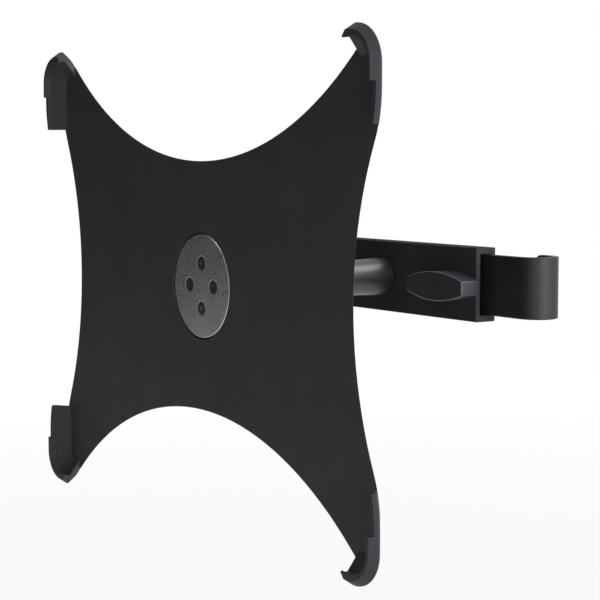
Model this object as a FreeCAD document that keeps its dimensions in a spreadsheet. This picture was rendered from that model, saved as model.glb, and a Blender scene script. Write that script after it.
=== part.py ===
import FreeCAD, Part
import math
import os
import Sketcher
from FreeCAD import Vector

# Headrest mount: a four-claw cradle on a ball joint, carried by an arm with two sliding hooks.
# Frame: X to the right seen from the front, Y to the back, Z up. The origin is the centre of the
# arm's back face. "Forward" sizes are distances in front of that face, so they run along -Y.

doc = FreeCAD.newDocument("tablet_holder")
sheet = doc.addObject("Spreadsheet::Sheet", "sizes")

# Driving dimensions in millimetres, one row each: alias, value, what it is.
DRIVING_SIZES = [
    ("tablet_width", 241.2, "landscape width that the cradle takes"),
    ("tablet_height", 185.7, "landscape height that the cradle takes"),
    ("tablet_corner", 9.0, "corner radius that the cradle takes"),
    ("tablet_clearance", 0.3, "gap all round in the pocket"),
    ("side_wall", 3.1, "claw wall at the left and right"),
    ("end_wall", 4.4, "claw wall at the top and bottom"),
    ("lobe_radius", 14.0, "corner radius of the shell"),
    ("end_dip", 42.0, "depth of the hollow in the top and bottom outline"),
    ("side_dip", 16.0, "depth of the hollow in the left and right outline"),
    ("side_straight", 8.0, "straight stretch of the outline beside each corner"),
    ("shoulder_radius", 50.0, "rounding from that stretch into the side hollow"),
    ("ball_to_floor", 27.0, "ball centre to the pocket floor"),
    ("plate_thickness", 2.5, "shell plate"),
    ("claw_height", 8.0, "claw edge above the pocket floor"),
    ("claw_side_length", 20.0, "full-height claw along the side, from the top of its corner"),
    ("claw_end_length", 18.0, "claw along the top or bottom, from the side of its corner"),
    ("claw_end_slant", 3.5, "lean of that end over the claw's wall"),
    ("low_rim_height", 6.3, "rim beyond the full-height claw, above the floor"),
    ("low_rim_length", 34.5, "claw and rim together along the side, from the top of the corner"),
    ("lip_overhang", 0.6, "snap lip of the claw over the pocket"),
    ("lip_thickness", 0.7, "snap lip along Y"),
    ("bevel_depth", 6.9, "back bevel of the shell along Y"),
    ("bevel_inset", 9.0, "back bevel of the shell across"),
    ("pocket_bevel_depth", 5.0, "bevel at the foot of the pocket along Y"),
    ("pocket_bevel_inset", 6.5, "bevel at the foot of the pocket across"),
    ("claw_bevel_inset", 2.2, "outer bevel of the claws across"),
    ("side_band", 0.5, "flat band along Y between the outer bevel and the back bevel"),
    ("claw_edge_fillet", 0.3, "rounding inside the claw lip"),
    ("hub_web", 3.9, "shell between the two friction washers"),
    ("hub_boss_radius", 26.0, "raised hub on the back of the shell"),
    ("hub_boss_fillet", 2.0, "rounding at the foot of the hub"),
    ("journal_radius", 14.0, "journal of the socket in the shell"),
    ("journal_clearance", 0.05, "running clearance of the journal"),
    ("washer_thickness", 0.6, "friction washers"),
    ("disc_thickness", 1.6, "retaining disc"),
    ("disc_radius", 21.0, "retaining disc"),
    ("disc_clearance", 0.5, "gap round the disc in its recess"),
    ("disc_sink", 0.4, "disc below the pocket floor"),
    ("disc_edge", 0.4, "chamfer round the disc"),
    ("disc_screw_circle", 9.0, "pitch radius of the disc screws"),
    ("disc_screw_radius", 1.5, "disc screw shank"),
    ("disc_screw_head", 3.0, "disc screw head radius"),
    ("disc_screw_length", 8.0, "disc screw, overall"),
    ("screw_key_across", 2.0, "hexagon key of the disc screws, corner radius is half of it"),
    ("screw_key_depth", 0.9, "depth of the key recess"),
    ("fixed_clearance", 0.05, "gap round pieces that are fixed in a hole"),
    ("flange_thickness", 4.0, "socket flange"),
    ("flange_radius", 24.0, "socket flange"),
    ("flange_edge", 0.8, "chamfer round the flange"),
    ("barrel_radius", 17.0, "threaded barrel of the socket"),
    ("barrel_setback", 0.3, "barrel end in front of the ball centre"),
    ("collar_gap", 2.4, "lock collar to the flange"),
    ("collar_radius", 21.5, "lock collar over its ribs"),
    ("collar_clearance", 0.1, "thread clearance of the collar"),
    ("collar_lip_reach", 7.0, "collar behind the ball centre"),
    ("collar_mouth", 12.0, "mouth radius of the collar"),
    ("collar_edge", 1.2, "chamfer at both ends of the collar"),
    ("flute_radius", 2.2, "finger flutes round the collar"),
    ("flute_depth", 1.1, "depth of the flutes"),
    ("ball_forward", 75.5, "ball centre in front of the arm's back"),
    ("ball_radius", 11.0, "ball"),
    ("ball_clearance", 0.05, "running clearance inside and outside the seat"),
    ("seat_thickness", 1.95, "nylon seat"),
    ("seat_mouth_angle", 54.0, "half angle of the seat mouth, degrees"),
    ("seat_split", 0.3, "half gap between the two seat rings, along Y"),
    ("neck_radius", 5.5, "neck behind the ball"),
    ("neck_length", 21.5, "neck from the ball centre"),
    ("neck_taper", 6.0, "taper from the neck to the post"),
    ("post_radius", 7.6, "post"),
    ("post_foot_radius", 8.2, "thicker foot of the post"),
    ("post_foot_length", 14.0, "taper from the foot to the post"),
    ("post_seat_radius", 7.3, "step under the foot, on the arm"),
    ("post_seat_length", 0.7, "height of that step"),
    ("arm_length", 121.0, "arm along X"),
    ("arm_height", 30.0, "arm along Z"),
    ("arm_depth", 10.0, "arm along Y"),
    ("arm_front_wall", 3.0, "front wall of the arm"),
    ("arm_edge_fillet", 0.6, "rounding of the long edges"),
    ("mouth_chamfer", 1.0, "chamfer inside the arm's open ends"),
    ("strip_height", 24.6, "hook strip along Z"),
    ("strip_thickness", 2.5, "hook strip"),
    ("strip_clearance", 0.2, "gap round the strip in the arm"),
    ("hook_bore", 6.5, "inside radius of the hook, the headrest post's radius"),
    ("hook_reach", 19.7, "hook centre past the end of the arm"),
    ("hook_return", 8.0, "straight return past the half turn"),
    ("strip_insertion", 41.5, "strip inside the arm"),
    ("tip_corner", 3.5, "rounded corners of the hook tip"),
    ("strip_edge_fillet", 0.5, "rounding of the strip edges"),
    ("post_screw_radius", 2.5, "post screw shank"),
    ("post_screw_head", 4.7, "post screw head radius"),
    ("post_screw_length", 20.0, "post screw, overall"),
    ("post_key_across", 3.0, "hexagon key of the post screw"),
    ("post_key_depth", 1.4, "depth of that key recess"),
    ("pin_radius", 1.0, "locating pins of the post"),
    ("pin_offset", 5.3, "locating pins from the post axis"),
    ("pin_depth_arm", 2.0, "locating pins in the arm"),
    ("pin_depth_post", 3.0, "locating pins in the post"),
    ("knob_setback", 15.3, "clamp screws from the ends of the arm"),
    ("knob_drop", 0.9, "clamp screws below the middle of the arm"),
    ("knob_length", 35.0, "wing knob along its length"),
    ("knob_height", 12.0, "wing knob across its middle"),
    ("knob_tip_height", 5.8, "wing knob across its blunt tips"),
    ("knob_depth", 9.4, "wing knob along Y"),
    ("knob_gap", 0.3, "wing knob to the arm"),
    ("knob_edge_fillet", 0.6, "rounding of the knob's front edge"),
    ("knob_tip_fillet", 0.9, "rounding of the knob's tips"),
    ("knob_bore_depth", 6.0, "clamp screw in the knob"),
    ("clamp_screw_radius", 2.95, "clamp screw"),
    ("clamp_tip_radius", 1.5, "tip of the clamp screw in its pad"),
    ("clamp_tip_length", 0.8, "length of that tip"),
    ("pad_radius", 4.2, "pressure pad"),
    ("pad_thickness", 1.3, "pressure pad"),
    ("pad_gap", 0.1, "pressure pad to the strip"),
    ("pad_room", 0.6, "room in front of the pad to back off"),
    ("insert_radius", 4.5, "threaded insert in the arm"),
    ("insert_flange_radius", 6.0, "flange of the insert"),
    ("insert_flange_thickness", 0.8, "flange of the insert"),
]
ROUND_SOLID = 360
DISC_SCREWS = 4
COLLAR_FLUTES = 18
KEY_SIDES = 6

for row, (alias, value, meaning) in enumerate(DRIVING_SIZES, start=1):
    sheet.set(f"A{row}", meaning)
    sheet.set(f"B{row}", str(value))
    sheet.setAlias(f"B{row}", alias)

# Sizes worked out from the driving ones, one row each: alias, formula.
DERIVED_SIZES = [
    ("pocket_half_width", "tablet_width / 2 + tablet_clearance"),
    ("pocket_half_height", "tablet_height / 2 + tablet_clearance"),
    ("pocket_corner", "tablet_corner + tablet_clearance"),
    ("lobe_half_width", "pocket_half_width + side_wall"),
    ("lobe_half_height", "pocket_half_height + end_wall"),
    ("floor_forward", "ball_forward + ball_to_floor"),
    ("plate_back", "floor_forward - plate_thickness"),
    ("claw_front", "floor_forward + claw_height"),
    ("claw_bevel_depth", "claw_front - plate_back - bevel_depth - side_band"),
    ("recess_floor", "floor_forward - disc_sink - disc_thickness - washer_thickness"),
    ("hub_back", "recess_floor - hub_web"),
    ("disc_back", "recess_floor + washer_thickness"),
    ("disc_front", "disc_back + disc_thickness"),
    ("flange_front", "hub_back - washer_thickness"),
    ("flange_back", "flange_front - flange_thickness"),
    ("seat_inner", "ball_radius + ball_clearance"),
    ("seat_outer", "seat_inner + seat_thickness"),
    ("socket_radius", "seat_outer + ball_clearance"),
    ("barrel_end", "ball_forward + barrel_setback"),
    ("collar_front", "flange_back - collar_gap"),
    ("collar_back", "ball_forward - collar_lip_reach"),
    ("collar_bore", "barrel_radius + collar_clearance"),
    ("arm_inner_front", "arm_depth - arm_front_wall"),
    ("slot_half_height", "strip_height / 2 + strip_clearance"),
    ("pad_front", "arm_inner_front - pad_room"),
    ("pad_back", "pad_front - pad_thickness"),
    ("strip_front", "pad_back - pad_gap"),
    ("strip_back", "strip_front - strip_thickness"),
    ("arm_back_wall", "strip_back - strip_clearance"),
    ("hook_centre", "arm_length / 2 + hook_reach"),
    ("hook_tip", "hook_centre - hook_return"),
    ("strip_end", "arm_length / 2 - strip_insertion"),
    ("knob_offset", "arm_length / 2 - knob_setback"),
    ("knob_back", "arm_depth + knob_gap"),
    ("knob_front", "knob_back + knob_depth"),
]
first_derived = len(DRIVING_SIZES) + 2
for row, (alias, formula) in enumerate(DERIVED_SIZES, start=first_derived):
    sheet.set(f"A{row}", f"from {formula}")
    sheet.set(f"B{row}", f"={formula}")
    sheet.setAlias(f"B{row}", alias)
doc.recompute()


def size(alias):
    """Value of one size on the sheet."""
    return float(sheet.get(alias))


def bound(formula):
    """A formula in size names, written so that other objects can refer to the sheet."""
    words = []
    word = ""
    for letter in formula + " ":
        if letter.isalnum() or letter in "_.":
            word += letter
            continue
        words.append(f"sizes.{word}" if word in aliases else word)
        words.append(letter)
        word = ""
    return "".join(words).strip()


def value_of(formula):
    """Number that a formula in size names gives now."""
    return float(sheet.evalExpression(bound(formula)))


aliases = {alias for alias, *_ in DRIVING_SIZES + DERIVED_SIZES}
subparts = []


def new_body(label):
    """An empty body that becomes one sub-part."""
    body = doc.addObject("PartDesign::Body", label)
    body.Label = label
    subparts.append(body)
    return body


def new_sketch(body, name, plane, offset="0"):
    """A sketch on one of the body's origin planes, moved along the plane's normal."""
    sketch = body.newObject("Sketcher::SketchObject", f"{body.Name}_{name}")
    support = next(item for item in body.Origin.OriginFeatures if item.Role == plane)
    sketch.AttachmentSupport = [(support, "")]
    sketch.MapMode = "FlatFace"
    sketch.setExpression("AttachmentOffset.Base.z", bound(offset))
    return sketch


def hold(sketch, kind, geometry, point, formula):
    """Fix one coordinate of a sketch point, measured from the sketch's origin."""
    if abs(value_of(formula)) < 1e-9:
        axis = -2 if kind == "DistanceX" else -1
        sketch.addConstraint(Sketcher.Constraint("PointOnObject", geometry, point, axis))
        return
    index = sketch.addConstraint(Sketcher.Constraint(kind, -1, 1, geometry, point, value_of(formula)))
    sketch.setExpression(f"Constraints[{index}]", bound(formula))


def draw_outline(sketch, corners):
    """Closed outline of lines and arcs.

    Each corner is (x, y), with formulas for both. A third entry makes the side that leaves the
    corner an arc: ("left" or "right", x), the way it turns and the x of its centre, with its y
    added where the two ends are level.
    """
    points = [Vector(value_of(corner[0]), value_of(corner[1]), 0) for corner in corners]
    count = len(corners)
    ends = []
    for number, corner in enumerate(corners):
        start = points[number]
        finish = points[(number + 1) % count]
        if len(corner) == 2:
            index = sketch.addGeometry(Part.LineSegment(start, finish), False)
            ends.append((index, 1, 2))
            continue
        way, centre_x, *centre_y = corner[2]
        middle = (start + finish) / 2
        across = finish - start
        if centre_y:
            centre = Vector(middle.x, value_of(centre_y[0]), 0)
        else:
            along = value_of(centre_x) - middle.x
            centre = middle + Vector(along, -along * across.x / across.y, 0)
        radius = (start - centre).Length
        first, last = (start, finish) if way == "left" else (finish, start)
        begin = math.atan2(first.y - centre.y, first.x - centre.x)
        stop = math.atan2(last.y - centre.y, last.x - centre.x)
        circle = Part.Circle(centre, Vector(0, 0, 1), radius)
        index = sketch.addGeometry(Part.ArcOfCircle(circle, begin, stop), False)
        ends.append((index, 1, 2) if way == "left" else (index, 2, 1))
        if centre_y:
            hold(sketch, "DistanceY", index, 3, centre_y[0])
        else:
            hold(sketch, "DistanceX", index, 3, centre_x)
    for number, corner in enumerate(corners):
        index, start_point, finish_point = ends[number]
        following, next_start, _ = ends[(number + 1) % count]
        join = Sketcher.Constraint("Coincident", index, finish_point, following, next_start)
        sketch.addConstraint(join)
        hold(sketch, "DistanceX", index, start_point, corner[0])
        hold(sketch, "DistanceY", index, start_point, corner[1])


def draw_rectangle(sketch, half_width, half_height, radius):
    """Rounded rectangle about the sketch's origin."""
    x = f"({half_width})"
    y = f"({half_height})"
    flat_x = f"({half_width} - ({radius}))"
    flat_y = f"({half_height} - ({radius}))"
    draw_outline(sketch, [
        (x, f"-{flat_y}"),
        (x, flat_y, ("left", flat_x)),
        (flat_x, y),
        (f"-{flat_x}", y, ("left", f"-{flat_x}")),
        (f"-{x}", flat_y),
        (f"-{x}", f"-{flat_y}", ("left", f"-{flat_x}")),
        (f"-{flat_x}", f"-{y}"),
        (flat_x, f"-{y}", ("left", flat_x)),
    ])


def draw_box(sketch, half_width, half_height):
    """Plain rectangle about the sketch's origin."""
    draw_outline(sketch, [
        (half_width, f"-{half_height}"),
        (half_width, half_height),
        (f"-{half_width}", half_height),
        (f"-{half_width}", f"-{half_height}"),
    ])


def draw_circle(sketch, x, y, radius):
    """Circle with its centre held from the sketch's origin."""
    centre = Vector(value_of(x), value_of(y), 0)
    circle = Part.Circle(centre, Vector(0, 0, 1), value_of(radius))
    index = sketch.addGeometry(circle, False)
    if abs(centre.x) < 1e-9 and abs(centre.y) < 1e-9:
        sketch.addConstraint(Sketcher.Constraint("Coincident", index, 3, -1, 1))
    else:
        hold(sketch, "DistanceX", index, 3, x)
        hold(sketch, "DistanceY", index, 3, y)
    row = sketch.addConstraint(Sketcher.Constraint("Radius", index, value_of(radius)))
    sketch.setExpression(f"Constraints[{row}]", bound(radius))


def grow(body, name, kind, sketch, length, backward=False):
    """Pad or Pocket of a sketch, with its length bound to the sheet."""
    feature = body.newObject(f"PartDesign::{kind}", f"{body.Name}_{name}")
    feature.Profile = sketch
    feature.setExpression("Length", bound(length))
    feature.Reversed = backward
    doc.recompute()
    return feature


def turn(body, name, kind, sketch, axis="V_Axis"):
    """Revolution or Groove of a sketch, a full turn about one of its axes."""
    feature = body.newObject(f"PartDesign::{kind}", f"{body.Name}_{name}")
    feature.Profile = sketch
    feature.ReferenceAxis = (sketch, [axis])
    feature.Angle = ROUND_SOLID
    doc.recompute()
    return feature


def ease(body, name, kind, amount, wanted):
    """Fillet or Chamfer on the edges of the body's tip that the test wants."""
    base = body.Tip
    names = [f"Edge{number}" for number, edge in enumerate(base.Shape.Edges, start=1) if wanted(edge)]
    if not names:
        raise RuntimeError(f"no edge for {body.Label} {name}")
    feature = body.newObject(f"PartDesign::{kind}", f"{body.Name}_{name}")
    feature.Base = (base, names)
    feature.setExpression("Radius" if kind == "Fillet" else "Size", bound(amount))
    doc.recompute()
    return feature


def on_plane(edge, axis, place):
    """True where the whole edge lies on a plane across X, Y or Z."""
    box = edge.BoundBox
    low = getattr(box, f"{axis}Min")
    high = getattr(box, f"{axis}Max")
    return abs(low - place) < 1e-4 and abs(high - place) < 1e-4


def within(edge, half_width, half_height):
    """True where the edge stays inside a rectangle about the Y axis, its border included."""
    box = edge.BoundBox
    wide = max(abs(box.XMin), abs(box.XMax))
    tall = max(abs(box.ZMin), abs(box.ZMax))
    return wide < half_width + 1e-4 and tall < half_height + 1e-4


def is_circle(edge, radius):
    """True for a round edge of that radius."""
    return isinstance(edge.Curve, Part.Circle) and abs(edge.Curve.Radius - radius) < 1e-4


def draw_shell_quarter(sketch):
    """One quarter of the shell's outline: hollow top, round corner, short straight, hollow side."""
    corner_x = size("lobe_half_width") - size("lobe_radius")
    corner_z = size("lobe_half_height") - size("lobe_radius")
    corner_r = size("lobe_radius")
    top_z = size("lobe_half_height") - size("end_dip")
    waist_x = size("lobe_half_width") - size("side_dip")
    flat_z = corner_z - size("side_straight")
    shoulder_r = size("shoulder_radius")
    shoulder_x = size("lobe_half_width") - shoulder_r
    drop = top_z - corner_z
    hollow_r = (corner_x ** 2 + drop ** 2 - corner_r ** 2) / (2 * (corner_r - drop))
    reach = waist_x - shoulder_x
    waist_r = (reach ** 2 + flat_z ** 2 - shoulder_r ** 2) / (2 * (shoulder_r - reach))
    hollow_z = top_z + hollow_r
    waist_centre = waist_x + waist_r
    lean = math.atan2(hollow_z - corner_z, -corner_x)
    sweep = math.atan2(-flat_z, waist_centre - shoulder_x)
    normal = Vector(0, 0, 1)

    def arc(x, z, radius, begin, stop):
        return Part.ArcOfCircle(Part.Circle(Vector(x, z, 0), normal, radius), begin, stop)

    def line(x, z, to_x, to_z):
        return Part.LineSegment(Vector(x, z, 0), Vector(to_x, to_z, 0))

    middle, hollow, corner, straight, shoulder, waist, level = sketch.addGeometry([
        line(0, 0, 0, top_z),
        arc(0, hollow_z, hollow_r, -math.pi / 2, lean - math.pi),
        arc(corner_x, corner_z, corner_r, 0, lean),
        line(corner_x + corner_r, corner_z, corner_x + corner_r, flat_z),
        arc(shoulder_x, flat_z, shoulder_r, sweep, 0),
        arc(waist_centre, 0, waist_r, sweep + math.pi, math.pi),
        line(waist_x, 0, 0, 0),
    ], False)
    for first, first_end, second, second_end in (
        (hollow, 2, corner, 2),
        (corner, 1, straight, 1),
        (straight, 2, shoulder, 2),
        (shoulder, 1, waist, 1),
    ):
        smooth = Sketcher.Constraint("Tangent", first, first_end, second, second_end)
        sketch.addConstraint(smooth)
    for first, first_end, second, second_end in (
        (middle, 1, -1, 1),
        (middle, 2, hollow, 1),
        (waist, 2, level, 1),
        (level, 2, middle, 1),
    ):
        meeting = Sketcher.Constraint("Coincident", first, first_end, second, second_end)
        sketch.addConstraint(meeting)
    sketch.addConstraint(Sketcher.Constraint("Vertical", middle))
    sketch.addConstraint(Sketcher.Constraint("Horizontal", level))
    sketch.addConstraint(Sketcher.Constraint("Vertical", straight))
    sketch.addConstraint(Sketcher.Constraint("PointOnObject", hollow, 3, -2))
    sketch.addConstraint(Sketcher.Constraint("PointOnObject", waist, 3, -1))
    hold(sketch, "DistanceY", middle, 2, "lobe_half_height - end_dip")
    hold(sketch, "DistanceX", corner, 3, "lobe_half_width - lobe_radius")
    hold(sketch, "DistanceY", corner, 3, "lobe_half_height - lobe_radius")
    hold(sketch, "DistanceY", straight, 2, "lobe_half_height - lobe_radius - side_straight")
    hold(sketch, "DistanceX", waist, 2, "lobe_half_width - side_dip")
    for geometry, radius in ((corner, "lobe_radius"), (shoulder, "shoulder_radius")):
        row = sketch.addConstraint(Sketcher.Constraint("Radius", geometry, size(radius)))
        sketch.setExpression(f"Constraints[{row}]", bound(radius))


def make_cradle_shell():
    """Moulded cradle: hollow-sided plate with a bevelled back, four corner claws and the hub."""
    body = new_body("cradle_shell")
    quarter = new_sketch(body, "quarter", "XZ_Plane", "plate_back")
    draw_shell_quarter(quarter)
    plate = grow(body, "plate", "Pad", quarter, "claw_front - plate_back")
    mirrors = body.newObject("PartDesign::MultiTransform", "cradle_shell_whole")
    mirrors.Originals = [plate]
    across = body.newObject("PartDesign::Mirrored", "cradle_shell_across")
    across.MirrorPlane = (quarter, ["V_Axis"])
    upward = body.newObject("PartDesign::Mirrored", "cradle_shell_upward")
    upward.MirrorPlane = (quarter, ["H_Axis"])
    mirrors.Transformations = [across, upward]
    body.Tip = mirrors
    doc.recompute()

    back = -size("plate_back")
    bevel = ease(body, "bevel", "Chamfer", "bevel_depth", lambda edge: on_plane(edge, "Y", back))
    bevel.ChamferType = "Two distances"
    bevel.setExpression("Size2", bound("bevel_inset"))
    doc.recompute()
    claw_edge = -size("claw_front")
    claw_bevel = ease(body, "claw_bevel", "Chamfer", "claw_bevel_depth",
                      lambda edge: on_plane(edge, "Y", claw_edge))
    claw_bevel.ChamferType = "Two distances"
    claw_bevel.setExpression("Size2", bound("claw_bevel_inset"))
    doc.recompute()

    lip_opening = new_sketch(body, "lip", "XZ_Plane", "claw_front")
    draw_rectangle(lip_opening, "pocket_half_width - lip_overhang", "pocket_half_height - lip_overhang",
                   "pocket_corner - lip_overhang")
    grow(body, "lip_cut", "Pocket", lip_opening, "lip_thickness")
    pocket = new_sketch(body, "pocket", "XZ_Plane", "claw_front - lip_thickness")
    draw_rectangle(pocket, "pocket_half_width", "pocket_half_height", "pocket_corner")
    grow(body, "pocket_cut", "Pocket", pocket, "claw_height - lip_thickness - pocket_bevel_depth")

    foot_top = new_sketch(body, "foot_top", "XZ_Plane", "floor_forward + pocket_bevel_depth")
    draw_rectangle(foot_top, "pocket_half_width", "pocket_half_height", "pocket_corner")
    foot = new_sketch(body, "foot", "XZ_Plane", "floor_forward")
    draw_rectangle(foot, "pocket_half_width - pocket_bevel_inset", "pocket_half_height - pocket_bevel_inset",
                   "pocket_corner - pocket_bevel_inset")
    dish = body.newObject("PartDesign::SubtractiveLoft", "cradle_shell_dish")
    dish.Profile = foot_top
    dish.Sections = [foot]
    dish.Ruled = True
    doc.recompute()

    side = "(lobe_half_width + side_wall)"
    end = "(pocket_half_height + 2 * end_wall)"
    step_z = "(lobe_half_height - claw_side_length)"
    step_x = "(lobe_half_width - claw_end_length)"
    low_rim = new_sketch(body, "low_rim", "XZ_Plane", "claw_front")
    draw_box(low_rim, side, step_z)
    grow(body, "rim_cut", "Pocket", low_rim, "claw_height - low_rim_height")
    open_side = new_sketch(body, "open_side", "XZ_Plane", "floor_forward + low_rim_height")
    draw_box(open_side, side, "(lobe_half_height - low_rim_length)")
    grow(body, "side_cut", "Pocket", open_side, "low_rim_height")
    claw_ends = new_sketch(body, "claw_ends", "XZ_Plane", "claw_front")
    lean_x = f"({step_x} + 2 * claw_end_slant)"
    draw_outline(claw_ends, [
        (step_x, "-pocket_half_height"),
        (step_x, "pocket_half_height"),
        (lean_x, end),
        (f"-{lean_x}", end),
        (f"-{step_x}", "pocket_half_height"),
        (f"-{step_x}", "-pocket_half_height"),
        (f"-{lean_x}", f"-{end}"),
        (lean_x, f"-{end}"),
    ])
    grow(body, "end_cut", "Pocket", claw_ends, "claw_height")
    lip_x = value_of("pocket_half_width - lip_overhang")
    lip_z = value_of("pocket_half_height - lip_overhang")
    ease(body, "claw_edges", "Fillet", "claw_edge_fillet",
         lambda edge: on_plane(edge, "Y", claw_edge) and within(edge, lip_x, lip_z))

    boss = new_sketch(body, "boss", "XZ_Plane", "plate_back")
    draw_circle(boss, "0", "0", "hub_boss_radius")
    grow(body, "hub_boss", "Pad", boss, "plate_back - hub_back", backward=True)
    foot_edge = size("hub_boss_radius")
    ease(body, "boss_foot", "Fillet", "hub_boss_fillet",
         lambda edge: is_circle(edge, foot_edge) and on_plane(edge, "Y", back))
    recess = new_sketch(body, "recess", "XZ_Plane", "floor_forward")
    draw_circle(recess, "0", "0", "disc_radius + disc_clearance")
    grow(body, "hub_recess", "Pocket", recess, "floor_forward - recess_floor")
    bore = new_sketch(body, "bore", "XZ_Plane", "floor_forward")
    draw_circle(bore, "0", "0", "journal_radius + journal_clearance")
    grow(body, "hub_bore", "Pocket", bore, "floor_forward - hub_back")


def make_ring(label, inner, outer, back, front, edge=None):
    """Flat round ring on the hub axis, between two forward distances."""
    body = new_body(label)
    profile = new_sketch(body, "profile", "XY_Plane")
    corners = [(inner, f"-({back})"), (outer, f"-({back})"), (outer, f"-({front})"), (inner, f"-({front})")]
    if edge:
        corners[2:3] = [(outer, f"-({front} - {edge})"), (f"{outer} - {edge}", f"-({front})")]
    draw_outline(profile, corners)
    turn(body, "ring", "Revolution", profile)
    return body


def draw_screw_ring(sketch, radius):
    """Circles for the disc screws on their pitch circle."""
    for number in range(DISC_SCREWS):
        angle = number * ROUND_SOLID / DISC_SCREWS
        x = f"disc_screw_circle * {round(math.cos(math.radians(angle)), 6)}"
        z = f"disc_screw_circle * {round(math.sin(math.radians(angle)), 6)}"
        draw_circle(sketch, x, z, radius)


def make_retaining_disc():
    """Steel disc that holds the shell on the journal, with countersunk holes."""
    body = make_ring("retaining_disc", "0", "disc_radius", "disc_back", "disc_front", "disc_edge")
    holes = new_sketch(body, "holes", "XZ_Plane", "disc_front")
    draw_screw_ring(holes, "disc_screw_radius + fixed_clearance")
    grow(body, "drilled", "Pocket", holes, "disc_thickness")
    rim = size("disc_screw_radius") + size("fixed_clearance")
    front = -size("disc_front")
    ease(body, "countersink", "Chamfer", "disc_screw_head - disc_screw_radius",
         lambda edge: is_circle(edge, rim) and on_plane(edge, "Y", front))


def make_countersunk_screw(label, axis_x, head_end, sense, head, shank, length, key_across, key_depth):
    """One countersunk screw along Y; sense is the sign of the way from head to tip along Y."""
    body = new_body(label)
    profile = new_sketch(body, "profile", "XY_Plane")
    top = f"-({head_end})"
    neck = f"{top} + {sense} * ({head} - {shank})"
    tip = f"{top} + {sense} * ({length})"
    point = f"{top} + {sense} * ({length} - {shank} / 2)"
    draw_outline(profile, [
        (axis_x, top),
        (f"{axis_x} + {head}", top),
        (f"{axis_x} + {shank}", neck),
        (f"{axis_x} + {shank}", point),
        (f"{axis_x} + {shank} / 2", tip),
        (axis_x, tip),
    ])
    centre_line = Part.LineSegment(Vector(value_of(axis_x), 0, 0), Vector(value_of(axis_x), 1, 0))
    index = profile.addGeometry(centre_line, True)
    profile.addConstraint(Sketcher.Constraint("Vertical", index))
    hold(profile, "DistanceX", index, 1, axis_x)
    solid = turn(body, "solid", "Revolution", profile, "Axis0")
    key = new_sketch(body, "key", "XZ_Plane", head_end)
    corners = []
    for number in range(KEY_SIDES):
        angle = math.radians(number * ROUND_SOLID / KEY_SIDES)
        x = f"{axis_x} + {key_across} / 2 * {round(math.cos(angle), 6)}"
        z = f"{key_across} / 2 * {round(math.sin(angle), 6)}"
        corners.append((x, z))
    draw_outline(key, corners)
    recess = grow(body, "key_recess", "Pocket", key, key_depth, backward=sense < 0)
    return body, solid, recess


def make_disc_screws():
    """Four countersunk screws through the retaining disc into the journal."""
    body, solid, recess = make_countersunk_screw(
        "disc_screws", "disc_screw_circle", "disc_front", 1, "disc_screw_head", "disc_screw_radius",
        "disc_screw_length", "screw_key_across", "screw_key_depth")
    ring = body.newObject("PartDesign::PolarPattern", "disc_screws_ring")
    ring.Originals = [solid, recess]
    ring.Axis = (solid.Profile[0], ["V_Axis"])
    ring.Angle = ROUND_SOLID
    ring.Occurrences = DISC_SCREWS
    body.Tip = ring
    doc.recompute()


def make_socket_cup():
    """Socket: journal through the shell, flange, threaded barrel and the round seat for the ball."""
    body = new_body("socket_cup")
    profile = new_sketch(body, "profile", "XY_Plane")
    mouth = "sqrt(socket_radius * socket_radius - barrel_setback * barrel_setback)"
    draw_outline(profile, [
        ("0", "-disc_back"),
        ("0", "-(ball_forward + socket_radius)", ("left", "0")),
        (mouth, "-barrel_end"),
        ("barrel_radius", "-barrel_end"),
        ("barrel_radius", "-flange_back"),
        ("flange_radius - flange_edge", "-flange_back"),
        ("flange_radius", "-(flange_back + flange_edge)"),
        ("flange_radius", "-(flange_front - flange_edge)"),
        ("flange_radius - flange_edge", "-flange_front"),
        ("journal_radius", "-flange_front"),
        ("journal_radius", "-disc_back"),
    ])
    turn(body, "cup", "Revolution", profile)
    holes = new_sketch(body, "holes", "XZ_Plane", "disc_back")
    draw_screw_ring(holes, "disc_screw_radius + fixed_clearance")
    grow(body, "tapped", "Pocket", holes, "disc_screw_length")


def make_lock_collar():
    """Fluted nut on the barrel whose inner lip presses the seat on the ball."""
    body = new_body("lock_collar")
    profile = new_sketch(body, "profile", "XY_Plane")
    lip = "sqrt(socket_radius * socket_radius - collar_mouth * collar_mouth)"
    shoulder = "(ball_forward - barrel_setback)"
    lip_start = "sqrt(socket_radius * socket_radius - barrel_setback * barrel_setback)"
    draw_outline(profile, [
        ("collar_bore", "-collar_front"),
        ("collar_bore", f"-{shoulder}"),
        (lip_start, f"-{shoulder}", ("left", "0")),
        ("collar_mouth", f"-(ball_forward - {lip})"),
        ("collar_mouth", "-collar_back"),
        ("collar_radius - collar_edge", "-collar_back"),
        ("collar_radius", "-(collar_back + collar_edge)"),
        ("collar_radius", "-(collar_front - collar_edge)"),
        ("collar_radius - collar_edge", "-collar_front"),
    ])
    turn(body, "nut", "Revolution", profile)
    groove = new_sketch(body, "groove", "XZ_Plane", "collar_front")
    draw_circle(groove, "0", "collar_radius + flute_radius - flute_depth", "flute_radius")
    flute = grow(body, "flute", "Pocket", groove, "collar_front - collar_back")
    flutes = body.newObject("PartDesign::PolarPattern", "lock_collar_flutes")
    flutes.Originals = [flute]
    flutes.Axis = (profile, ["V_Axis"])
    flutes.Angle = ROUND_SOLID
    flutes.Occurrences = COLLAR_FLUTES
    body.Tip = flutes
    doc.recompute()


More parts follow.
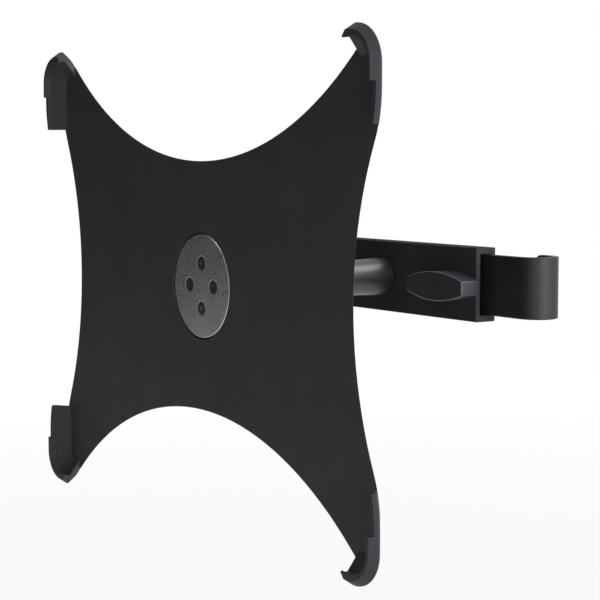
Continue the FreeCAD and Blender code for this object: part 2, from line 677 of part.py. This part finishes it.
def make_ball_seat():
    """Nylon seat between ball and socket: a cup in front and a ring behind."""
    cup = new_body("seat_cup")
    front = new_sketch(cup, "profile", "XY_Plane")
    inner_rim = "sqrt(seat_inner * seat_inner - seat_split * seat_split)"
    outer_rim = "sqrt(seat_outer * seat_outer - seat_split * seat_split)"
    draw_outline(front, [
        ("0", "-(ball_forward + seat_outer)", ("left", "0")),
        (outer_rim, "-(ball_forward + seat_split)"),
        (inner_rim, "-(ball_forward + seat_split)", ("right", "0")),
        ("0", "-(ball_forward + seat_inner)"),
    ])
    turn(cup, "cup", "Revolution", front)
    ring = new_body("seat_ring")
    rear = new_sketch(ring, "profile", "XY_Plane")
    mouth_x = "sin(seat_mouth_angle * 1 deg)"
    mouth_y = "cos(seat_mouth_angle * 1 deg)"
    draw_outline(rear, [
        (inner_rim, "-(ball_forward - seat_split)"),
        (outer_rim, "-(ball_forward - seat_split)", ("left", "0")),
        (f"seat_outer * {mouth_x}", f"-(ball_forward - seat_outer * {mouth_y})"),
        (f"seat_inner * {mouth_x}", f"-(ball_forward - seat_inner * {mouth_y})", ("right", "0")),
    ])
    turn(ring, "ring", "Revolution", rear)


def make_neck_post():
    """Post with its ball, turned in one piece, drilled in the foot for its screw and pins."""
    body = new_body("neck_post")
    profile = new_sketch(body, "profile", "XY_Plane")
    neck_meets_ball = "sqrt(ball_radius * ball_radius - neck_radius * neck_radius)"
    draw_outline(profile, [
        ("0", "-arm_depth"),
        ("post_seat_radius", "-arm_depth"),
        ("post_seat_radius", "-(arm_depth + post_seat_length)"),
        ("post_foot_radius", "-(arm_depth + post_seat_length)"),
        ("post_radius", "-(arm_depth + post_foot_length)"),
        ("post_radius", "-(ball_forward - neck_length - neck_taper)"),
        ("neck_radius", "-(ball_forward - neck_length)"),
        ("neck_radius", f"-(ball_forward - {neck_meets_ball})", ("right", "0")),
        ("0", "-(ball_forward + ball_radius)"),
    ])
    turn(body, "turned", "Revolution", profile)
    drill = new_sketch(body, "drill", "XZ_Plane", "arm_depth")
    draw_circle(drill, "0", "0", "post_screw_radius + fixed_clearance")
    grow(body, "tapped", "Pocket", drill, "post_screw_length", backward=True)
    pins = new_sketch(body, "pins", "XZ_Plane", "arm_depth")
    for sign in ("", "-"):
        draw_circle(pins, f"{sign}pin_offset", "0", "pin_radius + fixed_clearance")
    grow(body, "pin_holes", "Pocket", pins, "pin_depth_post", backward=True)


def make_locating_pins():
    """Two pins that keep the post from turning on the arm."""
    body = new_body("locating_pins")
    ends = new_sketch(body, "ends", "XZ_Plane", "arm_depth - pin_depth_arm")
    for sign in ("", "-"):
        draw_circle(ends, f"{sign}pin_offset", "0", "pin_radius")
    grow(body, "pins", "Pad", ends, "pin_depth_arm + pin_depth_post - fixed_clearance")


def make_arm_housing():
    """Flat sleeve that the two hook strips slide in, open at both ends."""
    body = new_body("arm_housing")
    section = new_sketch(body, "section", "YZ_Plane", "-arm_length / 2")
    draw_outline(section, [
        ("0", "-arm_height / 2"),
        ("0", "arm_height / 2"),
        ("-arm_depth", "arm_height / 2"),
        ("-arm_depth", "-arm_height / 2"),
    ])
    grow(body, "sleeve", "Pad", section, "arm_length")
    ease(body, "long_edges", "Fillet", "arm_edge_fillet",
         lambda edge: abs(edge.BoundBox.XLength - size("arm_length")) < 1e-4)
    slot = new_sketch(body, "slot", "YZ_Plane", "arm_length / 2")
    draw_outline(slot, [
        ("-arm_back_wall", "-slot_half_height"),
        ("-arm_back_wall", "slot_half_height"),
        ("-arm_inner_front", "slot_half_height"),
        ("-arm_inner_front", "-slot_half_height"),
    ])
    grow(body, "slot_cut", "Pocket", slot, "arm_length")
    front = -size("arm_inner_front")
    end = size("arm_length") / 2
    ease(body, "mouths", "Chamfer", "mouth_chamfer",
         lambda edge: on_plane(edge, "Y", front) and (on_plane(edge, "X", end) or on_plane(edge, "X", -end)))

    holes = new_sketch(body, "holes", "XZ_Plane", "arm_depth")
    draw_circle(holes, "0", "0", "post_screw_radius + fixed_clearance")
    for sign in ("", "-"):
        draw_circle(holes, f"{sign}knob_offset", "-knob_drop", "insert_radius + fixed_clearance")
    grow(body, "drilled", "Pocket", holes, "arm_front_wall")
    seats = new_sketch(body, "seats", "XZ_Plane", "arm_inner_front")
    for sign in ("", "-"):
        draw_circle(seats, f"{sign}knob_offset", "-knob_drop", "insert_flange_radius + fixed_clearance")
    grow(body, "flange_seats", "Pocket", seats, "insert_flange_thickness", backward=True)
    pins = new_sketch(body, "pins", "XZ_Plane", "arm_depth")
    for sign in ("", "-"):
        draw_circle(pins, f"{sign}pin_offset", "0", "pin_radius + fixed_clearance")
    grow(body, "pin_holes", "Pocket", pins, "pin_depth_arm")
    rim = size("post_screw_radius") + size("fixed_clearance")
    ease(body, "countersink", "Chamfer", "post_screw_head - post_screw_radius",
         lambda edge: is_circle(edge, rim) and on_plane(edge, "Y", front))


def make_thread_inserts():
    """Brass inserts that the clamp screws run in, flanged inside the arm."""
    body = new_body("thread_inserts")
    bushes = new_sketch(body, "bushes", "XZ_Plane", "arm_inner_front")
    flanges = new_sketch(body, "flanges", "XZ_Plane", "arm_inner_front")
    bores = new_sketch(body, "bores", "XZ_Plane", "arm_inner_front")
    for sign in ("", "-"):
        draw_circle(bushes, f"{sign}knob_offset", "-knob_drop", "insert_radius")
        draw_circle(flanges, f"{sign}knob_offset", "-knob_drop", "insert_flange_radius")
        draw_circle(bores, f"{sign}knob_offset", "-knob_drop", "clamp_screw_radius + fixed_clearance")
    grow(body, "bush", "Pad", bushes, "arm_front_wall")
    grow(body, "flange", "Pad", flanges, "insert_flange_thickness")
    grow(body, "bore", "Pocket", bores, "arm_front_wall", backward=True)


def make_hooks():
    """Right hook, a flat strip bent back on itself, and its mirror image on the left."""
    body = new_body("right_hook")
    profile = new_sketch(body, "profile", "XY_Plane", "-strip_height / 2")
    inner_back = "(2 * hook_bore - strip_back)"
    outer_back = "(2 * hook_bore + strip_thickness - strip_back)"
    draw_outline(profile, [
        ("strip_end", "-strip_front"),
        ("hook_centre", "-strip_front", ("left", "hook_centre")),
        ("hook_centre", outer_back),
        ("hook_tip", outer_back),
        ("hook_tip", inner_back),
        ("hook_centre", inner_back, ("right", "hook_centre")),
        ("hook_centre", "-strip_back"),
        ("strip_end", "-strip_back"),
    ])
    grow(body, "strip", "Pad", profile, "strip_height")
    half = size("strip_height") / 2
    tip = size("hook_tip")
    ease(body, "tip_corners", "Fillet", "tip_corner",
         lambda edge: on_plane(edge, "X", tip) and (on_plane(edge, "Z", half) or on_plane(edge, "Z", -half)))
    ease(body, "strip_edges", "Fillet", "strip_edge_fillet",
         lambda edge: on_plane(edge, "Z", half) or on_plane(edge, "Z", -half))
    twin = doc.addObject("Part::Mirroring", "left_hook")
    twin.Label = "left_hook"
    twin.Source = body
    twin.Normal = Vector(1, 0, 0)
    subparts.append(twin)
    doc.recompute()


def make_clamp(side, sign):
    """Clamp of one hook: wing knob, its screw and the pad that presses the strip."""
    axis_x = f"({sign}1 * knob_offset)"
    pad = new_body(f"{side}_clamp_pad")
    disc = new_sketch(pad, "disc", "XZ_Plane", "pad_back")
    draw_circle(disc, axis_x, "-knob_drop", "pad_radius")
    grow(pad, "pad", "Pad", disc, "pad_thickness")
    dimple = new_sketch(pad, "dimple", "XZ_Plane", "pad_front")
    draw_circle(dimple, axis_x, "-knob_drop", "clamp_tip_radius + fixed_clearance")
    grow(pad, "tip_hole", "Pocket", dimple, "clamp_tip_length + fixed_clearance")

    screw = new_body(f"{side}_clamp_screw")
    shank = new_sketch(screw, "shank", "XZ_Plane", "pad_front + fixed_clearance")
    draw_circle(shank, axis_x, "-knob_drop", "clamp_screw_radius")
    grow(screw, "thread", "Pad", shank, "knob_back + knob_bore_depth - pad_front - fixed_clearance")
    tip = new_sketch(screw, "tip", "XZ_Plane", "pad_front + fixed_clearance")
    draw_circle(tip, axis_x, "-knob_drop", "clamp_tip_radius")
    grow(screw, "point", "Pad", tip, "clamp_tip_length", backward=True)

    knob = new_body(f"{side}_clamp_knob")
    wing = new_sketch(knob, "wing", "XZ_Plane", "knob_back")
    reach = "(knob_length / 2)"
    half_tip = "(knob_tip_height / 2)"
    rise = "((knob_height - knob_tip_height) / 2)"
    bow = f"(({reach} * {reach} + {rise} * {rise}) / (2 * {rise}))"
    arc_z = f"(knob_height / 2 - {bow})"
    tip_top = f"({half_tip} - knob_drop)"
    tip_bottom = f"(-{half_tip} - knob_drop)"
    draw_outline(wing, [
        (f"{axis_x} + {reach}", tip_bottom),
        (f"{axis_x} + {reach}", tip_top, ("left", axis_x, f"{arc_z} - knob_drop")),
        (f"{axis_x} - {reach}", tip_top),
        (f"{axis_x} - {reach}", tip_bottom, ("left", axis_x, f"-{arc_z} - knob_drop")),
    ])
    grow(knob, "wing_pad", "Pad", wing, "knob_depth")
    ends = [value_of(f"{axis_x} + {reach}"), value_of(f"{axis_x} - {reach}")]
    ease(knob, "tips", "Fillet", "knob_tip_fillet",
         lambda edge: edge.BoundBox.YLength > 1 and any(on_plane(edge, "X", end) for end in ends))
    front = -size("knob_front")
    ease(knob, "front_edge", "Fillet", "knob_edge_fillet", lambda edge: on_plane(edge, "Y", front))
    socket = new_sketch(knob, "socket", "XZ_Plane", "knob_back")
    draw_circle(socket, axis_x, "-knob_drop", "clamp_screw_radius + fixed_clearance")
    grow(knob, "screw_hole", "Pocket", socket, "knob_bore_depth + fixed_clearance", backward=True)


make_cradle_shell()
make_ring("front_washer", "journal_radius + disc_clearance", "disc_radius", "recess_floor", "disc_back")
make_ring("rear_washer", "journal_radius + disc_clearance", "flange_radius - flange_edge",
          "flange_front", "hub_back")
make_retaining_disc()
make_disc_screws()
make_socket_cup()
make_lock_collar()
make_ball_seat()
make_neck_post()
make_countersunk_screw("post_screw", "0", "arm_inner_front", -1, "post_screw_head", "post_screw_radius",
                       "post_screw_length", "post_key_across", "post_key_depth")
make_locating_pins()
make_arm_housing()
make_thread_inserts()
make_hooks()
for side, sign in (("right", "+"), ("left", "-")):
    make_clamp(side, sign)
doc.recompute()

for item in doc.Objects:
    if "Invalid" in item.State or "Error" in item.State:
        raise RuntimeError(f"{item.Name} failed: {item.State}")
for part in subparts:
    if part.Shape.isNull() or not part.Shape.isValid():
        raise RuntimeError(f"{part.Label} has no valid shape")

os.makedirs("parts", exist_ok=True)
for part in subparts:
    part.Shape.exportStep(f"parts/{part.Label}.step")
    print(part.Label, len(part.Shape.Solids), round(part.Shape.Volume, 1))
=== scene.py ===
import math

import bpy
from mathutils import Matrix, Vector

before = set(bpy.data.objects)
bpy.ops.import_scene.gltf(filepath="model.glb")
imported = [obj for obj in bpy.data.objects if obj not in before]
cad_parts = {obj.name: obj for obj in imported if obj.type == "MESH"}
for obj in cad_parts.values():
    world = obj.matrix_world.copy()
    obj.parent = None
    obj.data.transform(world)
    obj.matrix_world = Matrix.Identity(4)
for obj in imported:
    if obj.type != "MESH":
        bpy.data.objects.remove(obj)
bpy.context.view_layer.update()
scene = bpy.context.scene

# Lengths are in metres and angles in degrees.
# An azimuth is counted from the front towards the right, an elevation from the horizon up.

# Camera at the photograph's viewing angle.
VIEW_AZIMUTH = 55.1814
VIEW_ELEVATION = 5.1924
CAMERA_PLACE = (0.572764, -0.452425, 0.055301)
LENS_MM = 100.89
SENSOR_MM = 36.0
CLIP_START = 0.02
CLIP_END = 50.0

# White surroundings, and the weaker even light that they give.
WHITE = (1.0, 1.0, 1.0, 1.0)
BACKGROUND = 1.0
AMBIENT = 0.15

# The floor lies well under the object, which hangs on posts in use.
# Its glow rises from the first share to the second between the two distances of the fade.
FLOOR_DROP = 0.26
FLOOR_SIDE = 12.0
FLOOR_PAINT = (0.9, 0.9, 0.9, 1.0)
FLOOR_GLOW = (0.86, 1.0)
FLOOR_FADE = (0.3, 1.3)

# The lamps and the dark panel stand round this point and face it.
AIM = (0.0, -0.05, 0.0)
LAMP_DISTANCE = 1.6
FLAG_AZIMUTH = -48.0
FLAG_ELEVATION = 0.0
FLAG_DISTANCE = 1.3
FLAG_WIDTH = 2.6
FLAG_HEIGHT = 2.2
FLAG_BLACK = (0.02, 0.02, 0.02, 1.0)

# Surface texture: noise scales in cycles per metre, and the noise's middle range.
CLOUD_SCALE = 45.0
CLOUD_DETAIL = 4.0
GRAIN_DETAIL = 3.0
TEXTURE_RANGE = (0.35, 0.65)
FULL_RANGE = (0.0, 1.0)
RELIEF_STRENGTH = 0.5

# Rubbed edges: where the rounded normal leaves the face's own one, the wear colour comes in, in patches;
# on the arm this lighter edge colour is also a painted edge highlight.
EDGE_ROUNDING = 0.0004
EDGE_SAMPLES = 6
WEAR_AND_HIGHLIGHT_FACING = (0.80, 0.97)
WEAR_AND_HIGHLIGHT_SHARE = (0.55, 0.0)
WEAR_AND_HIGHLIGHT_PATCHES = (0.3, 1.0)

METAL = 1.0
PLASTIC = 0.0
PLAIN_SHEEN = 0.22


def direction(azimuth, elevation):
    """Unit vector from the object towards that azimuth and elevation."""
    turn = math.radians(azimuth)
    rise = math.radians(elevation)
    return Vector((
        math.sin(turn) * math.cos(rise),
        -math.cos(turn) * math.cos(rise),
        math.sin(rise),
    ))


def stand_and_face(thing, azimuth, elevation, distance, front):
    """Places a thing in that direction from the aim point, with its front axis towards the point."""
    towards = direction(azimuth, elevation)
    thing.location = Vector(AIM) + distance * towards
    thing.rotation_euler = (-towards).to_track_quat(front, "Y").to_euler()


def make_camera():
    """The photograph's camera: perspective, no shift, no roll."""
    data = bpy.data.cameras.new("camera")
    data.lens = LENS_MM
    data.sensor_width = SENSOR_MM
    data.clip_start = CLIP_START
    data.clip_end = CLIP_END
    camera = bpy.data.objects.new("camera", data)
    scene.collection.objects.link(camera)
    forward = -direction(VIEW_AZIMUTH, VIEW_ELEVATION)
    camera.location = CAMERA_PLACE
    camera.rotation_euler = forward.to_track_quat("-Z", "Y").to_euler()
    scene.camera = camera


def make_lamp(name, azimuth, elevation, width, height, watts):
    """Soft rectangular lamp that points at the aim point."""
    data = bpy.data.lights.new(name, "AREA")
    data.shape = "RECTANGLE"
    data.size = width
    data.size_y = height
    data.energy = watts
    lamp = bpy.data.objects.new(name, data)
    scene.collection.objects.link(lamp)
    stand_and_face(lamp, azimuth, elevation, LAMP_DISTANCE, "-Z")


def make_lights():
    """Soft lamps on the right, from in front round to behind, and a weak one from above the left."""
    make_lamp("front_right", azimuth=52.0, elevation=-2.0, width=1.1, height=1.1, watts=5.0)
    make_lamp("right", azimuth=94.0, elevation=8.0, width=1.2, height=1.2, watts=30.0)
    make_lamp("back_right", azimuth=128.0, elevation=4.0, width=0.8, height=1.1, watts=7.0)
    make_lamp("crown", azimuth=146.0, elevation=46.0, width=0.9, height=0.8, watts=11.0)
    make_lamp("fill", azimuth=-30.0, elevation=60.0, width=0.8, height=0.8, watts=2.0)


def make_flag():
    """Dark studio panel at the front left: it keeps the faces turned to it deep, unseen by the camera."""
    bpy.ops.mesh.primitive_plane_add(size=1.0)
    flag = bpy.context.object
    flag.name = "flag"
    flag.scale = (FLAG_WIDTH, FLAG_HEIGHT, 1.0)
    stand_and_face(flag, FLAG_AZIMUTH, FLAG_ELEVATION, FLAG_DISTANCE, "Z")
    flag.visible_camera = False
    cloth = bpy.data.materials.new("flag_cloth")
    cloth.use_nodes = True
    surface = cloth.node_tree.nodes["Principled BSDF"]
    surface.inputs["Base Color"].default_value = FLAG_BLACK
    surface.inputs["Roughness"].default_value = 1.0
    surface.inputs["Specular IOR Level"].default_value = 0.0
    flag.data.materials.append(cloth)


def combine(nodes, links, operation, first, second):
    """One value worked out from two."""
    node = nodes.new("ShaderNodeMath")
    node.operation = operation
    links.new(first, node.inputs[0])
    links.new(second, node.inputs[1])
    return node.outputs["Value"]


def span(nodes, links, source, result, reach=TEXTURE_RANGE):
    """Maps a value's reach, by default a texture's middle range, onto the result's range."""
    mapped = nodes.new("ShaderNodeMapRange")
    mapped.inputs["From Min"].default_value = reach[0]
    mapped.inputs["From Max"].default_value = reach[1]
    mapped.inputs["To Min"].default_value = result[0]
    mapped.inputs["To Max"].default_value = result[1]
    links.new(source, mapped.inputs["Value"])
    return mapped.outputs["Result"]


def noise(nodes, links, coordinates, scale, detail):
    """Noise texture on the object's own coordinates."""
    texture = nodes.new("ShaderNodeTexNoise")
    texture.inputs["Scale"].default_value = scale
    texture.inputs["Detail"].default_value = detail
    links.new(coordinates.outputs["Object"], texture.inputs["Vector"])
    return texture.outputs["Fac"]


def seen_directly(nodes, links):
    """One for rays from the camera, from a shiny surface or through a clear one, otherwise zero."""
    path = nodes.new("ShaderNodeLightPath")
    either = combine(nodes, links, "MAXIMUM", path.outputs["Is Camera Ray"], path.outputs["Is Glossy Ray"])
    return combine(nodes, links, "MAXIMUM", either, path.outputs["Is Transmission Ray"])


def make_world():
    """Even ambient light; the camera, mirrors and glass see a white background."""
    world = bpy.data.worlds.new("studio")
    scene.world = world
    world.use_nodes = True
    nodes = world.node_tree.nodes
    links = world.node_tree.links
    nodes.clear()
    output = nodes.new("ShaderNodeOutputWorld")
    ambient = nodes.new("ShaderNodeBackground")
    ambient.inputs["Color"].default_value = WHITE
    ambient.inputs["Strength"].default_value = AMBIENT
    backdrop = nodes.new("ShaderNodeBackground")
    backdrop.inputs["Color"].default_value = WHITE
    backdrop.inputs["Strength"].default_value = BACKGROUND
    mixed = nodes.new("ShaderNodeMixShader")
    links.new(seen_directly(nodes, links), mixed.inputs["Fac"])
    links.new(ambient.outputs["Background"], mixed.inputs[1])
    links.new(backdrop.outputs["Background"], mixed.inputs[2])
    links.new(mixed.outputs["Shader"], output.inputs["Surface"])


def make_floor():
    """Pale floor that keeps the shadow near the object and fades to the white background away from it."""
    bpy.ops.mesh.primitive_plane_add(size=FLOOR_SIDE, location=(0.0, 0.0, -FLOOR_DROP))
    floor = bpy.context.object
    floor.name = "floor"
    material = bpy.data.materials.new("floor_paint")
    material.use_nodes = True
    nodes = material.node_tree.nodes
    links = material.node_tree.links
    nodes.clear()
    output = nodes.new("ShaderNodeOutputMaterial")
    paint = nodes.new("ShaderNodeBsdfDiffuse")
    paint.inputs["Color"].default_value = FLOOR_PAINT
    glow = nodes.new("ShaderNodeEmission")
    glow.inputs["Color"].default_value = WHITE
    glow.inputs["Strength"].default_value = BACKGROUND
    place = nodes.new("ShaderNodeTexCoord")
    away = nodes.new("ShaderNodeVectorMath")
    away.operation = "LENGTH"
    links.new(place.outputs["Object"], away.inputs[0])
    fade = span(nodes, links, away.outputs["Value"], FLOOR_GLOW, FLOOR_FADE)
    mixed = nodes.new("ShaderNodeMixShader")
    links.new(combine(nodes, links, "MULTIPLY", seen_directly(nodes, links), fade), mixed.inputs["Fac"])
    links.new(paint.outputs["BSDF"], mixed.inputs[1])
    links.new(glow.outputs["Emission"], mixed.inputs[2])
    links.new(mixed.outputs["Shader"], output.inputs["Surface"])
    floor.data.materials.append(material)


def finish_material(name, dark, light, wear_and_highlight, rough, grain, depth, metal=PLASTIC, sheen=PLAIN_SHEEN):
    """Moulded or machined surface: mottled colour, uneven roughness, fine grain and rubbed edges, which on
    the arm also carry a painted edge highlight.

    dark and light bound the mottling, wear_and_highlight is the colour of rubbed edges and of the arm's
    painted edge highlight, rough is (low, high), grain is in cycles per metre and depth is the grain's
    relief.
    """
    material = bpy.data.materials.new(name)
    material.use_nodes = True
    nodes = material.node_tree.nodes
    links = material.node_tree.links
    surface = nodes["Principled BSDF"]
    surface.inputs["Metallic"].default_value = metal
    surface.inputs["Specular IOR Level"].default_value = sheen
    coordinates = nodes.new("ShaderNodeTexCoord")
    clouds = noise(nodes, links, coordinates, CLOUD_SCALE, CLOUD_DETAIL)
    grains = noise(nodes, links, coordinates, grain, GRAIN_DETAIL)

    tint = nodes.new("ShaderNodeMix")
    tint.data_type = "RGBA"
    tint.inputs["A"].default_value = (*dark, 1.0)
    tint.inputs["B"].default_value = (*light, 1.0)
    links.new(span(nodes, links, clouds, FULL_RANGE), tint.inputs["Factor"])

    rounded = nodes.new("ShaderNodeBevel")
    rounded.samples = EDGE_SAMPLES
    rounded.inputs["Radius"].default_value = EDGE_ROUNDING
    geometry = nodes.new("ShaderNodeNewGeometry")
    facing = nodes.new("ShaderNodeVectorMath")
    facing.operation = "DOT_PRODUCT"
    links.new(rounded.outputs["Normal"], facing.inputs[0])
    links.new(geometry.outputs["Normal"], facing.inputs[1])
    worn_and_highlighted_edges = span(nodes, links, facing.outputs["Value"], WEAR_AND_HIGHLIGHT_SHARE, WEAR_AND_HIGHLIGHT_FACING)
    patches = span(nodes, links, clouds, WEAR_AND_HIGHLIGHT_PATCHES)
    # Lighter colour at the edges: wear, and on the arm also a painted edge highlight.
    wear_and_highlight_tint = nodes.new("ShaderNodeMix")
    wear_and_highlight_tint.data_type = "RGBA"
    wear_and_highlight_tint.inputs["B"].default_value = (*wear_and_highlight, 1.0)
    links.new(combine(nodes, links, "MULTIPLY", worn_and_highlighted_edges, patches), wear_and_highlight_tint.inputs["Factor"])
    links.new(tint.outputs["Result"], wear_and_highlight_tint.inputs["A"])
    links.new(wear_and_highlight_tint.outputs["Result"], surface.inputs["Base Color"])

    links.new(span(nodes, links, grains, rough), surface.inputs["Roughness"])
    relief = nodes.new("ShaderNodeBump")
    relief.inputs["Strength"].default_value = RELIEF_STRENGTH
    relief.inputs["Distance"].default_value = depth
    links.new(grains, relief.inputs["Height"])
    links.new(rounded.outputs["Normal"], relief.inputs["Normal"])
    links.new(relief.outputs["Normal"], surface.inputs["Normal"])
    return material


make_camera()
make_world()
make_lights()
make_flag()
make_floor()

# Plastics
cradle_plastic = finish_material(
    "cradle_plastic",
    dark=(0.028, 0.029, 0.032),
    light=(0.033, 0.034, 0.038),
    wear_and_highlight=(0.060, 0.060, 0.062),
    rough=(0.48, 0.60),
    grain=2600.0,
    depth=0.00004,
    sheen=0.18,
)
arm_plastic = finish_material(
    "arm_plastic",
    dark=(0.033, 0.033, 0.035),
    light=(0.039, 0.039, 0.041),
    # The arm's edge colour is raised above wear alone, as a painted edge highlight.
    wear_and_highlight=(0.080, 0.080, 0.080),
    rough=(0.70, 0.82),
    grain=2600.0,
    depth=0.00003,
    sheen=0.02,
)
joint_plastic = finish_material(
    "joint_plastic",
    dark=(0.010, 0.010, 0.012),
    light=(0.014, 0.014, 0.017),
    wear_and_highlight=(0.050, 0.050, 0.050),
    rough=(0.34, 0.42),
    grain=2600.0,
    depth=0.00002,
    sheen=0.80,
)
collar_plastic = finish_material(
    "collar_plastic",
    dark=(0.024, 0.024, 0.026),
    light=(0.031, 0.031, 0.033),
    wear_and_highlight=(0.050, 0.050, 0.050),
    rough=(0.38, 0.52),
    grain=2400.0,
    depth=0.00004,
)
knob_plastic = finish_material(
    "knob_plastic",
    dark=(0.020, 0.021, 0.025),
    light=(0.026, 0.027, 0.032),
    wear_and_highlight=(0.055, 0.055, 0.060),
    rough=(0.34, 0.42),
    grain=3600.0,
    depth=0.00001,
    sheen=0.48,
)
seat_nylon = finish_material(
    "seat_nylon",
    dark=(0.045, 0.045, 0.047),
    light=(0.065, 0.065, 0.067),
    wear_and_highlight=(0.100, 0.100, 0.100),
    rough=(0.40, 0.52),
    grain=1800.0,
    depth=0.00002,
)
washer_fibre = finish_material(
    "washer_fibre",
    dark=(0.075, 0.060, 0.048),
    light=(0.120, 0.098, 0.080),
    wear_and_highlight=(0.150, 0.130, 0.110),
    rough=(0.70, 0.85),
    grain=3200.0,
    depth=0.00006,
)

# Metals, and the coat on the hooks
hook_coat = finish_material(
    "hook_coat",
    dark=(0.011, 0.011, 0.013),
    light=(0.015, 0.015, 0.017),
    wear_and_highlight=(0.040, 0.040, 0.041),
    rough=(0.36, 0.46),
    grain=3000.0,
    depth=0.00002,
    sheen=0.24,
)
zinc_steel = finish_material(
    "zinc_steel",
    dark=(0.52, 0.53, 0.55),
    light=(0.62, 0.63, 0.65),
    wear_and_highlight=(0.75, 0.75, 0.76),
    rough=(0.26, 0.40),
    grain=1500.0,
    depth=0.00001,
    metal=METAL,
)
black_steel = finish_material(
    "black_steel",
    dark=(0.045, 0.045, 0.048),
    light=(0.070, 0.070, 0.074),
    wear_and_highlight=(0.300, 0.300, 0.310),
    rough=(0.34, 0.48),
    grain=1800.0,
    depth=0.00001,
    metal=METAL,
)
brass = finish_material(
    "brass",
    dark=(0.52, 0.36, 0.14),
    light=(0.66, 0.47, 0.20),
    wear_and_highlight=(0.78, 0.60, 0.30),
    rough=(0.28, 0.42),
    grain=1500.0,
    depth=0.00001,
    metal=METAL,
)

FINISHES = {
    "cradle_shell": cradle_plastic,
    "front_washer": washer_fibre,
    "rear_washer": washer_fibre,
    "retaining_disc": zinc_steel,
    "disc_screws": black_steel,
    "socket_cup": joint_plastic,
    "lock_collar": collar_plastic,
    "seat_cup": seat_nylon,
    "seat_ring": seat_nylon,
    "neck_post": joint_plastic,
    "post_screw": zinc_steel,
    "locating_pins": zinc_steel,
    "arm_housing": arm_plastic,
    "thread_inserts": brass,
    "right_hook": hook_coat,
    "left_hook": hook_coat,
    "right_clamp_pad": zinc_steel,
    "left_clamp_pad": zinc_steel,
    "right_clamp_screw": zinc_steel,
    "left_clamp_screw": zinc_steel,
    "right_clamp_knob": knob_plastic,
    "left_clamp_knob": knob_plastic,
}
for name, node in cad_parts.items():
    node.data.materials.clear()
    node.data.materials.append(FINISHES[name])

scene.view_settings.view_transform = "Standard"
